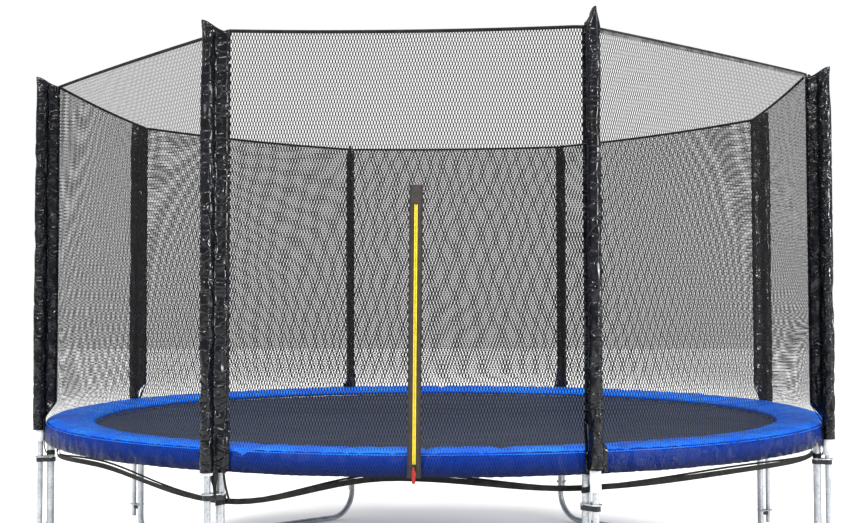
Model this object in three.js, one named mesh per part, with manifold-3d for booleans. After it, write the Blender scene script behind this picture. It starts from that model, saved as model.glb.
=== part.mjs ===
// A round garden trampoline with a safety net on eight padded poles.
// Millimetres, +Z up. The origin is on the ground under the centre, and the net's door faces -Y.

import * as THREE from 'three';
import { mergeVertices } from 'three/addons/utils/BufferGeometryUtils.js';
import Module from 'manifold-3d';

const wasm = await Module();
wasm.setup();

// Driving dimensions
const RAIL_RADIUS = 2108;
const RAIL_Z = 905;
const RAIL_TUBE = 42;
const POST_TUBE = 38;
const POLE_TUBE = 28;
const WALL = 1.6;
const TUBE_SIDES = 10;
const RAIL_SIDES = 8;
const LEGS = 8;
const POLE_STANDOFF = 53;
const FIT_GAP = 0.4;
const GRID = 64;

// Legs pair up on four U-shaped bases, so their spacing alternates around the ring.
const LEG_STEP = 360 / LEGS;
const LEG_FIRST = LEG_STEP / 2;
const PAIR_SPREAD = 1.29;

// Base tubes
const BEND_RADIUS = 180;
const BEND_STEPS = 4;
const BASE_TOP = 400;
const SPIGOT_LENGTH = 60;
const SPIGOT_RADIUS = POST_TUBE / 2 - WALL - 1.2;
const SOCKET_LENGTH = 60;

// Poles, clamps and sleeves
const POLE_BOTTOM = 200;
const POLE_TOP = 2690;
const CLAMP_HEIGHT = 22;
const CLAMP_GAP = 1.4;
const SLEEVE_IN = 27;
const SLEEVE_OUT = 38;
const SLEEVE_HALF_WIDTH = 29;
const SLEEVE_BORE = POLE_TUBE / 2 + 1.2;
const FOAM_RADIUS = 23;
const SEAM_DROP = 45;
const FLAP_LENGTH = 78;
const FLAP_THICKNESS = 5;
const FLAP_FOLD_TOP = 1050;
const FLAP_FOLD_BOTTOM = 960;
const FOLD_IN = 16.5;

// Net, from its top border down to its hem below the pad
const NET_TOP = 2712;
const NET_SAG = 8;
const NET_BOTTOM = 856;
const NET_THICKNESS = 1.2;
const NET_CLEARANCE = 8;
const NET_MIDDLE_TOP = 1944;
const NET_SLOPE = 0.116;

// Mat, springs and pad
const MAT_RADIUS = 1893;
const MAT_THICKNESS = 4;
const ROUND_STEPS = 64;
const SPRINGS_PER_RAIL = 12;
const SPRING_WIDTH = 18;
const PAD_INNER = 1884;
const PAD_OUTER = 2133;
const PAD_TOP = 955;
const SKIRT_BOTTOM = 856;
const SKIRT_THICKNESS = 1.5;

// Door zip
const ZIP_X = 70;
const BAND_WIDTH = 56;
const BAND_THICKNESS = 2;
const BAND_TOP = 2045;
const COIL_TOP = 1960;
const COIL_BOTTOM = 862;
const COIL_WIDTH = 12;
const COIL_THICKNESS = 2.4;
const SLIDER_Z = 893;
const PULL_FORWARD = 17;
const DOOR_BAY = 5;
const PIN_RADIUS = 1.2;
const EYELET_INNER = 1.9;
const EYELET_OUTER = 3.6;
const EYELET_WIDTH = 7;
const CHEEK_THICKNESS = 2.5;
const HINGE_GAP = 0.5;

// Strap that ties the net's hem to the posts
const STRAP_WIDTH = 25;
const STRAP_THICKNESS = 1.5;
const STRAP_RADIUS = 2078;
const STRAP_MIDDLE_Z = 843;

// As assembled, each leg differs a little: the pole's sideways shift, where its foam and its sleeve
// end, the sleeve's top, the clamp and the strap, and which way the sleeve's flap turns and folds.
const legs = [
  { name: 'right_back', shift: 0, foam: 800, sleeve: 875, top: 2764, clamp: 750, strap: 770, turn: 0, fold: 45 },
  { name: 'back_right', shift: 0, foam: 800, sleeve: 875, top: 2735, clamp: 750, strap: 775, turn: 0, fold: 45 },
  { name: 'back_left', shift: 0, foam: 800, sleeve: 875, top: 2754, clamp: 750, strap: 775, turn: 0, fold: 45 },
  { name: 'left_back', shift: 0, foam: 800, sleeve: 875, top: 2757, clamp: 750, strap: 770, turn: 0, fold: 45 },
  { name: 'left_front', shift: 0, foam: 844, sleeve: 901, top: 2758, clamp: 749, strap: 782, turn: 0, fold: 45 },
  { name: 'front_left', shift: -28, foam: 837, sleeve: 850, top: 2751, clamp: 745, strap: 722, turn: 50, fold: 82 },
  { name: 'front_right', shift: 18, foam: 783, sleeve: 873, top: 2769, clamp: 717, strap: 790, turn: 0, fold: 45 },
  { name: 'right_front', shift: 0, foam: 797, sleeve: 874, top: 2742, clamp: 763, strap: 795, turn: 0, fold: 45 },
];

legs.forEach((leg, i) => {
  const spread = i % 2 ? PAIR_SPREAD : -PAIR_SPREAD;
  leg.angle = THREE.MathUtils.degToRad(LEG_FIRST + LEG_STEP * i + spread);
  leg.outward = new THREE.Vector3(Math.cos(leg.angle), Math.sin(leg.angle), 0);
  leg.sideways = new THREE.Vector3(-leg.outward.y, leg.outward.x, 0);
  leg.post = leg.outward.clone().multiplyScalar(RAIL_RADIUS);
  leg.pole = legPoint(leg, 0, 0);
});

const trampoline = new THREE.Group();

const finishes = {
  galvanised: { color: 0xa9adb0, roughness: 0.42, metalness: 0.9 },
  spring_steel: { color: 0xb4b7ba, roughness: 0.35, metalness: 0.95 },
  black_plastic: { color: 0x17181a, roughness: 0.5, metalness: 0 },
  black_vinyl: { color: 0x15171b, roughness: 0.35, metalness: 0 },
  net_black: { color: 0x14151a, roughness: 0.8, metalness: 0 },
  pad_blue: { color: 0x1c64c8, roughness: 0.4, metalness: 0 },
  mat_grey: { color: 0x34373c, roughness: 0.7, metalness: 0 },
  webbing: { color: 0x1a1d17, roughness: 0.8, metalness: 0 },
  zip_band: { color: 0x6b6157, roughness: 0.8, metalness: 0 },
  zip_yellow: { color: 0xd9b53a, roughness: 0.5, metalness: 0 },
  pull_red: { color: 0xa8231f, roughness: 0.5, metalness: 0 },
};

function add(name, finish, geometry, position = new THREE.Vector3(), rotation = new THREE.Euler()) {
  const mesh = new THREE.Mesh(geometry, new THREE.MeshStandardMaterial(finishes[finish]));
  mesh.name = name;
  mesh.position.copy(position);
  mesh.rotation.copy(rotation);
  trampoline.add(mesh);
}

// A point beside a leg's pole: so far inward of its centre, so far counter-clockwise, and at height z.
function legPoint(leg, inward, counterclockwise, z = 0) {
  const point = leg.outward.clone().multiplyScalar(RAIL_RADIUS + POLE_STANDOFF - inward);
  return point.addScaledVector(leg.sideways, leg.shift + counterclockwise).setZ(z);
}

// Merges a geometry's corners, which sit on a fine grid, and turns its faces outward.
function closed(geometry) {
  const bare = geometry.clone();
  const place = bare.getAttribute('position');
  place.array.forEach((value, i) => {
    place.array[i] = Math.round(value * GRID) / GRID;
  });
  bare.deleteAttribute('normal');
  bare.deleteAttribute('uv');
  const merged = mergeVertices(bare, 1e-4);
  if (signedVolume(merged) < 0) {
    merged.index.array.reverse();
  }
  merged.computeVertexNormals();
  return merged;
}

function signedVolume(geometry) {
  const place = geometry.getAttribute('position');
  const corner = [0, 1, 2].map(() => new THREE.Vector3());
  let volume = 0;
  for (let i = 0; i < geometry.index.count; i += 3) {
    corner.forEach((c, k) => c.fromBufferAttribute(place, geometry.index.getX(i + k)));
    volume += corner[0].dot(corner[1].cross(corner[2])) / 6;
  }
  return volume;
}

// Moves every point of a geometry to where the function puts it.
function reshaped(geometry, move) {
  const place = geometry.getAttribute('position');
  for (let i = 0; i < place.count; i += 1) {
    const point = move(new THREE.Vector3().fromBufferAttribute(place, i));
    place.setXYZ(i, point.x, point.y, point.z);
  }
  return closed(geometry);
}

function solid(geometry) {
  const bare = closed(geometry);
  const numProp = 3;
  const vertProperties = new Float32Array(bare.getAttribute('position').array);
  const triVerts = new Uint32Array(bare.index.array);
  return new wasm.Manifold(new wasm.Mesh({ numProp, vertProperties, triVerts }));
}

function geometryOf(manifold) {
  const mesh = manifold.getMesh();
  const geometry = new THREE.BufferGeometry();
  geometry.setAttribute('position', new THREE.BufferAttribute(mesh.vertProperties, 3));
  geometry.setIndex(new THREE.BufferAttribute(mesh.triVerts, 1));
  geometry.computeVertexNormals();
  return geometry;
}

// A thin body whose two faces are the same grid, one step apart, joined by a rim. The function
// places a grid point given its column and its row, with row 0 at the top.
function sheetBody(columns, rows, step, placed) {
  const face = new THREE.PlaneGeometry(columns, rows, columns, rows);
  face.translate(columns / 2, rows / 2, 0);
  const grid = face.getAttribute('position');
  const count = grid.count;
  const corners = [];
  for (let i = 0; i < 2 * count; i += 1) {
    const corner = placed(Math.round(grid.getX(i % count)), rows - Math.round(grid.getY(i % count)));
    corners.push(i < count ? corner : corner.add(step));
  }
  const front = Array.from(face.index.array);
  const back = front.map((i) => i + count).reverse();
  const stride = columns + 1;
  const rim = [];
  for (let row = 0; row < rows; row += 1) {
    rim.push([row * stride, (row + 1) * stride]);
    rim.push([(row + 1) * stride + columns, row * stride + columns]);
  }
  for (let column = 0; column < columns; column += 1) {
    rim.push([rows * stride + column, rows * stride + column + 1]);
    rim.push([column + 1, column]);
  }
  const sides = rim.flatMap(([from, to]) => [to, from, from + count, to, from + count, to + count]);
  const body = new THREE.BufferGeometry().setFromPoints(corners);
  body.setIndex([...front, ...back, ...sides]);
  return closed(body);
}

// A ring of profile points [radius, height] turned about +Z.
function turned(profile, sides) {
  const points = [...profile, profile[0]].map(([radius, height]) => new THREE.Vector2(radius, height));
  const lathe = new THREE.LatheGeometry(points, sides, Math.PI / sides);
  lathe.rotateX(Math.PI / 2);
  return closed(lathe);
}

// A hollow tube with a section [distance, outer radius, inner radius] at each station of a path.
// The path gives the centre, the sideways direction and the up direction at a distance.
function tubeAlong(stations, sides, path) {
  const outside = stations.map(([distance, outer]) => new THREE.Vector2(outer, distance));
  const inside = stations.map(([distance, , inner]) => new THREE.Vector2(inner, distance)).reverse();
  const profile = [...outside, ...inside, outside[0]];
  const lathe = new THREE.LatheGeometry(profile, sides, Math.PI / sides);
  return reshaped(lathe, (point) => {
    const { centre, side, up } = path(point.y);
    return centre.clone().addScaledVector(side, point.x).addScaledVector(up, point.z);
  });
}

// Even stations from one distance to another with the same section.
function stretch(from, to, steps, outer, inner) {
  return Array.from({ length: steps + 1 }, (_, i) => [from + ((to - from) * i) / steps, outer, inner]);
}

function topRail(index) {
  const start = THREE.MathUtils.degToRad(LEG_STEP * index);
  const length = RAIL_RADIUS * THREE.MathUtils.degToRad(LEG_STEP);
  const outer = RAIL_TUBE / 2;
  const inner = outer - WALL;
  const overlap = 30;
  const swaged = inner - 2.2;
  const stations = [
    ...stretch(0.5, length - 1, 6, outer, inner),
    [length - 0.5, outer, swaged - WALL],
    [length - 0.5, swaged, swaged - WALL],
    [length + overlap, swaged, swaged - WALL],
  ];
  const arc = tubeAlong(stations, RAIL_SIDES, (distance) => {
    const angle = start + distance / RAIL_RADIUS;
    const side = new THREE.Vector3(Math.cos(angle), Math.sin(angle), 0);
    const centre = side.clone().multiplyScalar(RAIL_RADIUS).setZ(RAIL_Z);
    return { centre, side, up: new THREE.Vector3(0, 0, 1) };
  });
  const shoulder = RAIL_Z - outer - SOCKET_LENGTH;
  const radius = POST_TUBE / 2;
  const bore = SPIGOT_RADIUS - WALL;
  const stub = turned(
    [
      [bore, shoulder - SPIGOT_LENGTH],
      [SPIGOT_RADIUS, shoulder - SPIGOT_LENGTH],
      [SPIGOT_RADIUS, shoulder],
      [radius, shoulder],
      [radius, RAIL_Z - outer / 2],
      [bore, RAIL_Z - outer / 2],
    ],
    TUBE_SIDES,
  );
  const { post } = legs[index];
  stub.translate(post.x, post.y, 0);
  add(`top_rail_${index + 1}`, 'galvanised', geometryOf(solid(arc).add(solid(stub))));
}

// Both posts of a pair stand on one U-shaped tube that lies on the ground between them.
function legBase(index) {
  const [first, second] = [legs[2 * index], legs[2 * index + 1]];
  const along = second.post.clone().sub(first.post).normalize();
  const across = new THREE.Vector3(0, 0, 1).cross(along);
  const span = first.post.distanceTo(second.post);
  const radius = POST_TUBE / 2;
  const floor = radius * Math.cos(Math.PI / TUBE_SIDES);
  const drop = BASE_TOP + SPIGOT_LENGTH - floor - BEND_RADIUS;
  const bend = (BEND_RADIUS * Math.PI) / 2;
  const flat = span - 2 * BEND_RADIUS;
  const total = 2 * drop + 2 * bend + flat;
  const bore = SPIGOT_RADIUS - WALL;
  const half = [
    [0, SPIGOT_RADIUS, bore],
    [SPIGOT_LENGTH, SPIGOT_RADIUS, bore],
    [SPIGOT_LENGTH, radius, bore],
    ...stretch(drop, drop + bend, BEND_STEPS, radius, radius - WALL),
  ];
  const stations = [...half, ...half.map(([d, outer, inner]) => [total - d, outer, inner]).reverse()];
  const point = (x, z) => first.post.clone().addScaledVector(along, x).setZ(z);
  const turnedFrame = (angle) => {
    const up = new THREE.Vector3(0, 0, Math.sin(angle)).addScaledVector(along, Math.cos(angle));
    return { side: across.clone().negate(), up };
  };
  const base = tubeAlong(stations, TUBE_SIDES, (distance) => {
    const mirrored = distance > total / 2;
    const d = mirrored ? total - distance : distance;
    const angle = THREE.MathUtils.clamp((d - drop) / BEND_RADIUS, 0, Math.PI / 2);
    const x = BEND_RADIUS * (1 - Math.cos(angle)) + Math.max(0, d - drop - bend);
    const z = floor + BEND_RADIUS * (1 - Math.sin(angle)) + Math.max(0, drop - d);
    const frame = turnedFrame(mirrored ? Math.PI - angle : angle);
    return { centre: point(mirrored ? span - x : x, z), ...frame };
  });
  add(`leg_base_${index + 1}`, 'galvanised', base);
}

function straightTube(diameter, bottom, top) {
  const outer = diameter / 2;
  const inner = outer - WALL;
  return turned([[inner, bottom], [outer, bottom], [outer, top], [inner, top]], TUBE_SIDES);
}

function legPost(leg) {
  const top = RAIL_Z - RAIL_TUBE / 2 - SOCKET_LENGTH - FIT_GAP;
  add(`leg_post_${leg.name}`, 'galvanised', straightTube(POST_TUBE, BASE_TOP + FIT_GAP, top), leg.post);
}

function pole(leg) {
  add(`pole_${leg.name}`, 'galvanised', straightTube(POLE_TUBE, POLE_BOTTOM, POLE_TOP), leg.pole);
}

function polygon(path, radius, x = 0) {
  for (let i = 0; i < TUBE_SIDES; i += 1) {
    const angle = (2 * Math.PI * i) / TUBE_SIDES;
    path[i ? 'lineTo' : 'moveTo'](x + radius * Math.cos(angle), radius * Math.sin(angle));
  }
  path.closePath();
  return path;
}

// A plastic spacer round the post and the pole, with a round end at each.
function poleClamp(leg) {
  const gap = leg.pole.clone().sub(leg.post);
  const length = gap.length();
  const postEnd = POST_TUBE / 2 + 6;
  const poleEnd = POLE_TUBE / 2 + 6;
  const outline = new THREE.Shape();
  outline.absarc(length, 0, poleEnd, -Math.PI / 2, Math.PI / 2);
  outline.absarc(0, 0, postEnd, Math.PI / 2, -Math.PI / 2);
  outline.closePath();
  outline.holes.push(polygon(new THREE.Path(), POST_TUBE / 2 + CLAMP_GAP));
  outline.holes.push(polygon(new THREE.Path(), POLE_TUBE / 2 + CLAMP_GAP, length));
  const block = new THREE.ExtrudeGeometry(outline, { depth: CLAMP_HEIGHT, bevelEnabled: false, curveSegments: 4 });
  const turn = new THREE.Euler(0, 0, Math.atan2(gap.y, gap.x));
  const position = leg.post.clone().setZ(leg.clamp - CLAMP_HEIGHT / 2);
  add(`pole_clamp_${leg.name}`, 'black_plastic', closed(block), position, turn);
}

// How far the flap has unfolded: 0 beside the pad's skirt and 1 above the pad.
function foldShare(z) {
  return THREE.MathUtils.clamp((z - FLAP_FOLD_BOTTOM) / (FLAP_FOLD_TOP - FLAP_FOLD_BOTTOM), 0, 1);
}

// Where the flap's free edge is: inward and counter-clockwise of the pole. Above the pad it points
// inward, and beside the pad it folds flat round the outside of the skirt.
function flapEdge(leg, z) {
  const turn = THREE.MathUtils.degToRad(leg.turn);
  const high = new THREE.Vector2(Math.cos(turn), Math.sin(turn)).multiplyScalar(FLAP_LENGTH);
  return new THREE.Vector2(FOLD_IN, leg.fold).lerp(high, foldShare(z));
}

// The foam tube and the vinyl cover with its flap are one soft body here. The cover's top is a
// slanted seam, and the foam's bare end shows below the cover.
function poleSleeve(leg) {
  const centre = (SLEEVE_IN - SLEEVE_OUT) / 2;
  const halfLength = (SLEEVE_IN + SLEEVE_OUT) / 2;
  const turn = THREE.MathUtils.degToRad(leg.turn);
  const flapStart = THREE.MathUtils.degToRad(6);
  const around = 10;
  const outline = new THREE.Shape();
  for (let i = 0; i <= around; i += 1) {
    const angle = turn + flapStart + ((2 * Math.PI - 2 * flapStart) * i) / around;
    const x = centre + halfLength * Math.cos(angle);
    outline[i ? 'lineTo' : 'moveTo'](x, SLEEVE_HALF_WIDTH * Math.sin(angle));
  }
  const edge = flapEdge(leg, NET_TOP);
  const across = new THREE.Vector2(-edge.y, edge.x).setLength(FLAP_THICKNESS / 2);
  outline.lineTo(edge.x - across.x, edge.y - across.y);
  outline.lineTo(edge.x + across.x, edge.y + across.y);
  outline.closePath();
  const levels = [leg.sleeve, FLAP_FOLD_BOTTOM, FLAP_FOLD_TOP, leg.top];
  const steps = levels.length - 1;
  const cover = new THREE.ExtrudeGeometry(outline, { depth: steps, steps, bevelEnabled: false });
  const shaped = reshaped(cover, (point) => {
    const level = Math.round(point.z);
    const z = levels[level];
    const flat = new THREE.Vector2(point.x, point.y);
    const slant = level === steps ? SEAM_DROP * THREE.MathUtils.smoothstep(point.x, -SLEEVE_OUT, edge.x) : 0;
    if (flat.length() > FLAP_LENGTH - FLAP_THICKNESS && z < FLAP_FOLD_TOP) {
      const face = Math.sign(flat.dot(across)) * FLAP_THICKNESS / 2;
      flat.copy(flapEdge(leg, z)).setX(FOLD_IN - face);
    }
    return legPoint(leg, flat.x, flat.y, z - slant);
  });
  const foam = turned([[0, leg.foam], [FOAM_RADIUS, leg.foam], [FOAM_RADIUS, 1000], [0, 1000]], TUBE_SIDES);
  foam.translate(leg.pole.x, leg.pole.y, 0);
  const bore = turned([[0, 0], [SLEEVE_BORE, 0], [SLEEVE_BORE, POLE_TOP + 5], [0, POLE_TOP + 5]], TUBE_SIDES);
  bore.translate(leg.pole.x, leg.pole.y, 0);
  const sleeve = solid(shaped).add(solid(foam)).subtract(solid(bore));
  add(`pole_sleeve_${leg.name}`, 'black_vinyl', geometryOf(sleeve));
}

// Where the net meets a leg's flap: beside the flap's edge above the pad, and beside the sleeve below it.
function netEnd(leg, way, z) {
  const lean = THREE.MathUtils.degToRad(LEG_FIRST);
  const edge = flapEdge(leg, NET_TOP);
  const high = new THREE.Vector2(Math.sin(lean), way * Math.cos(lean)).multiplyScalar(NET_CLEARANCE).add(edge);
  const low = way > 0 ? new THREE.Vector2(FOLD_IN, leg.fold + NET_CLEARANCE) : new THREE.Vector2(FOLD_IN, -30);
  const place = low.lerp(high, foldShare(z));
  return legPoint(leg, place.x, place.y, z);
}

// The net's surface in a bay, with u from 0 to 1 between its two legs. It is straight from pole to
// pole at the top and bulges evenly outward below, so that it clears the pad.
function netPoint(bay, u, z) {
  const start = netEnd(legs[bay], 1, z);
  const end = netEnd(legs[(bay + 1) % LEGS], -1, z);
  const outward = bayMiddle(bay);
  const chord = start.clone().lerp(end, 0.5).dot(outward);
  const bulge = NET_MIDDLE_TOP + (NET_TOP - z) * NET_SLOPE - chord;
  return start.lerp(end, u).addScaledVector(outward, bulge * 4 * u * (1 - u));
}

function bayMiddle(bay) {
  const angle = THREE.MathUtils.degToRad(LEG_STEP * (bay + 1));
  return new THREE.Vector3(Math.cos(angle), Math.sin(angle), 0);
}

function netPanel(bay) {
  const levels = [NET_TOP, 2100, 1500, FLAP_FOLD_TOP, FLAP_FOLD_BOTTOM, NET_BOTTOM];
  const columns = 6;
  const step = bayMiddle(bay).multiplyScalar(NET_THICKNESS);
  const panel = sheetBody(columns, levels.length - 1, step, (column, row) => {
    const u = column / columns;
    const sag = row === 0 ? NET_SAG * 4 * u * (1 - u) : 0;
    return netPoint(bay, u, levels[row] - sag).addScaledVector(step, -0.5);
  });
  if (bay !== DOOR_BAY) {
    add(`net_panel_${bay + 1}`, 'net_black', panel);
    return;
  }
  const slot = new THREE.BoxGeometry(BAND_WIDTH + 1, 400, BAND_TOP - NET_BOTTOM + 101);
  slot.translate(ZIP_X, -RAIL_RADIUS, (BAND_TOP + NET_BOTTOM - 99) / 2);
  add('net_door_panel', 'net_black', geometryOf(solid(panel).subtract(solid(slot))));
}

// The door's pieces lie on one straight line that leans inward as it rises.
const doorLean = new THREE.Euler(-Math.atan(NET_SLOPE), 0, 0);

function onDoorLine(z, forward) {
  const radius = NET_MIDDLE_TOP + (NET_TOP - z) * NET_SLOPE;
  const step = new THREE.Vector3(0, -forward, 0).applyEuler(doorLean);
  return new THREE.Vector3(ZIP_X, -radius, z).add(step);
}

function doorStrip(name, finish, width, thickness, forward, bottom, top) {
  const strip = new THREE.BoxGeometry(width, thickness, (top - bottom) * Math.hypot(1, NET_SLOPE));
  add(name, finish, closed(strip), onDoorLine((top + bottom) / 2, forward), doorLean);
}

// The slider is a block with a channel round the coil, and two cheeks that hold the pull's pin.
function zipSlider() {
  const [width, height, wall, clear] = [20, 30, 2.5, 1];
  const back = -BAND_THICKNESS / 2 - 0.6;
  const front = back - COIL_THICKNESS - clear - wall;
  const channel = COIL_WIDTH / 2 + clear;
  const outline = new THREE.Shape([
    new THREE.Vector2(-width / 2, front),
    new THREE.Vector2(width / 2, front),
    new THREE.Vector2(width / 2, back),
    new THREE.Vector2(channel, back),
    new THREE.Vector2(channel, front + wall),
    new THREE.Vector2(-channel, front + wall),
    new THREE.Vector2(-channel, back),
    new THREE.Vector2(-width / 2, back),
  ]);
  const body = new THREE.ExtrudeGeometry(outline, { depth: height, bevelEnabled: false });
  body.translate(0, 0, -height / 2);
  const tip = -PULL_FORWARD - 2.6;
  const cheek = new THREE.BoxGeometry(CHEEK_THICKNESS, front + 1 - tip, 7);
  const aside = EYELET_WIDTH / 2 + HINGE_GAP + CHEEK_THICKNESS / 2;
  const left = solid(cheek.clone().translate(-aside, (front + 1 + tip) / 2, 0));
  const right = solid(cheek.clone().translate(aside, (front + 1 + tip) / 2, 0));
  const pin = turned([[0, -aside], [PIN_RADIUS, -aside], [PIN_RADIUS, aside], [0, aside]], TUBE_SIDES);
  pin.rotateY(Math.PI / 2).translate(0, -PULL_FORWARD, 0);
  const slider = solid(body).add(left).add(right).add(solid(pin));
  add('zip_slider', 'black_plastic', geometryOf(slider), onDoorLine(SLIDER_Z, 0), doorLean);
}

// The pull is a flat tab that narrows to an eyelet round the slider's pin.
function zipPull() {
  const [width, length, thickness] = [14, 62, 2.4];
  const neck = EYELET_WIDTH / 2;
  const outline = new THREE.Shape();
  outline.absarc(0, width / 2 - length, width / 2, Math.PI, 2 * Math.PI);
  outline.lineTo(width / 2, -11);
  outline.lineTo(neck, -7);
  outline.lineTo(neck, -EYELET_INNER - 0.8);
  outline.lineTo(-neck, -EYELET_INNER - 0.8);
  outline.lineTo(-neck, -7);
  outline.lineTo(-width / 2, -11);
  outline.closePath();
  const tab = new THREE.ExtrudeGeometry(outline, { depth: thickness, bevelEnabled: false, curveSegments: 6 });
  tab.translate(0, 0, -thickness / 2);
  tab.rotateX(Math.PI / 2);
  const eyelet = turned(
    [[EYELET_INNER, -neck], [EYELET_OUTER, -neck], [EYELET_OUTER, neck], [EYELET_INNER, neck]],
    TUBE_SIDES,
  );
  eyelet.rotateY(Math.PI / 2);
  add('zip_pull', 'pull_red', geometryOf(solid(tab).add(solid(eyelet))), onDoorLine(SLIDER_Z, PULL_FORWARD));
}

function jumpingMat() {
  const [low, high] = [RAIL_Z - MAT_THICKNESS / 2, RAIL_Z + MAT_THICKNESS / 2];
  add('jumping_mat', 'mat_grey', turned([[0, low], [MAT_RADIUS, low], [MAT_RADIUS, high], [0, high]], ROUND_STEPS));
}

// A thin ring stands for the mat's V-rings and joins the springs, each a bar of the coil's width.
function springSet() {
  const near = MAT_RADIUS + 5;
  const ring = near + 4;
  const far = RAIL_RADIUS - RAIL_TUBE / 2 - 6;
  const count = LEGS * SPRINGS_PER_RAIL;
  const centre = new THREE.Vector2();
  const corner = (angle, along, across) => new THREE.Vector2(along, across).rotateAround(centre, angle);
  const outline = [];
  const hole = [];
  for (let i = 0; i < count; i += 1) {
    const angle = ((i + 0.5) * 2 * Math.PI) / count;
    const half = SPRING_WIDTH / 2;
    outline.push(corner(angle, ring, -half), corner(angle, far, -half));
    outline.push(corner(angle, far, half), corner(angle, ring, half));
    hole.push(corner(angle, near, 0));
  }
  const shape = new THREE.Shape(outline);
  shape.holes.push(new THREE.Path(hole));
  const comb = new THREE.ExtrudeGeometry(shape, { depth: SPRING_WIDTH, bevelEnabled: false });
  comb.translate(0, 0, RAIL_Z - SPRING_WIDTH / 2);
  add('spring_set', 'spring_steel', closed(comb));
}

// The pad lies over the springs and the rail, and its skirt hangs down outside the rail.
function framePad() {
  const skirtInside = PAD_OUTER - SKIRT_THICKNESS;
  const railTop = RAIL_Z + RAIL_TUBE / 2;
  const ring = turned(
    [
      [PAD_INNER + 4, railTop - 5],
      [skirtInside, railTop + 3],
      [skirtInside, SKIRT_BOTTOM],
      [PAD_OUTER, SKIRT_BOTTOM],
      [PAD_OUTER, PAD_TOP - 9],
      [PAD_OUTER - 7, PAD_TOP - 2],
      [PAD_OUTER - 22, PAD_TOP],
      [PAD_INNER + 110, PAD_TOP - 5],
      [PAD_INNER + 6, PAD_TOP - 13],
      [PAD_INNER, PAD_TOP - 20],
    ],
    ROUND_STEPS,
  );
  add('frame_pad', 'pad_blue', ring);
}

// A flat webbing strap runs inside the posts, low at each post and high between them.
function netStrap() {
  const stepsPerBay = 6;
  const steps = LEGS * stepsPerBay;
  const strip = new THREE.BoxGeometry(steps, STRAP_THICKNESS, STRAP_WIDTH, steps, 1, 1);
  strip.translate(steps / 2, 0, 0);
  const strap = reshaped(strip, (point) => {
    const step = Math.min(point.x, steps - 0.02);
    const bay = Math.min(Math.floor(step / stepsPerBay), LEGS - 1);
    const share = step / stepsPerBay - bay;
    const [from, to] = [legs[bay], legs[(bay + 1) % LEGS]];
    const turn = bay === LEGS - 1 ? 2 * Math.PI : 0;
    const angle = THREE.MathUtils.lerp(from.angle, to.angle + turn, share);
    const post = share < 0.5 ? from.strap : to.strap;
    const z = THREE.MathUtils.lerp(STRAP_MIDDLE_Z, post, Math.cos(share * Math.PI) ** 2);
    const radius = STRAP_RADIUS + point.y;
    return new THREE.Vector3(radius * Math.cos(angle), radius * Math.sin(angle), z + point.z);
  });
  add('net_strap', 'webbing', strap);
}

for (let i = 0; i < LEGS; i += 1) {
  topRail(i);
}
for (let i = 0; i < LEGS / 2; i += 1) {
  legBase(i);
}
legs.forEach(legPost);
legs.forEach(pole);
legs.forEach(poleClamp);
legs.forEach(poleSleeve);
for (let bay = 0; bay < LEGS; bay += 1) {
  netPanel(bay);
}
jumpingMat();
springSet();
framePad();
doorStrip('zip_band', 'zip_band', BAND_WIDTH, BAND_THICKNESS, 0, NET_BOTTOM - 3, BAND_TOP);
const coilForward = (BAND_THICKNESS + COIL_THICKNESS) / 2 + 0.4;
doorStrip('zip_coil', 'zip_yellow', COIL_WIDTH, COIL_THICKNESS, coilForward, COIL_BOTTOM, COIL_TOP);
zipSlider();
zipPull();
netStrap();

export default trampoline;
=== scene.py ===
"""The visual pieces, materials, light and camera for a round garden trampoline with a safety net.

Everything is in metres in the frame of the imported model: +Z up, the origin on the ground under
the centre, and the net's door towards -Y.
"""
import math

import bpy
import numpy as np
from mathutils import Matrix, Vector, noise


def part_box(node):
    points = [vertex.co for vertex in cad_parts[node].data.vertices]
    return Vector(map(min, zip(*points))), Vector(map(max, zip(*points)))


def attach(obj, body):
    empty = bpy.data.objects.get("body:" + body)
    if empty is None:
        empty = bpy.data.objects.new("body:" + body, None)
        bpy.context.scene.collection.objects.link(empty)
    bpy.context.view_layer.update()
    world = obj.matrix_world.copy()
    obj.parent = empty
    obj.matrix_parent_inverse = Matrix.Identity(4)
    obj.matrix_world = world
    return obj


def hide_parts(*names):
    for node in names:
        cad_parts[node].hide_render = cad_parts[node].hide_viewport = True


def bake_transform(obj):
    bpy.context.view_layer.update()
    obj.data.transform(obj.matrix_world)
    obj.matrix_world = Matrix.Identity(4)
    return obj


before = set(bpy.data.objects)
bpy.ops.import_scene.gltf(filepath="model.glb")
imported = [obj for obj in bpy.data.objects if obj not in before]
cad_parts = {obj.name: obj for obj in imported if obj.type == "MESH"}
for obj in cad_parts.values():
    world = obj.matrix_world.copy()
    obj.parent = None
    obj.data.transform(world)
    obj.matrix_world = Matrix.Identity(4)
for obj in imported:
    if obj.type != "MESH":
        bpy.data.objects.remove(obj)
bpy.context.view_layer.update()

UP = Vector((0, 0, 1))

# The camera, fitted to the photograph: lens in millimetres, angles in degrees
CAMERA_LENS = 51.44
CAMERA_PLACE = (0.5209, -7.0989, 1.5297)
CAMERA_TURN = 4.329
CAMERA_TILT = 90 + 2.191
CAMERA_ROLL = -0.1405

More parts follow.
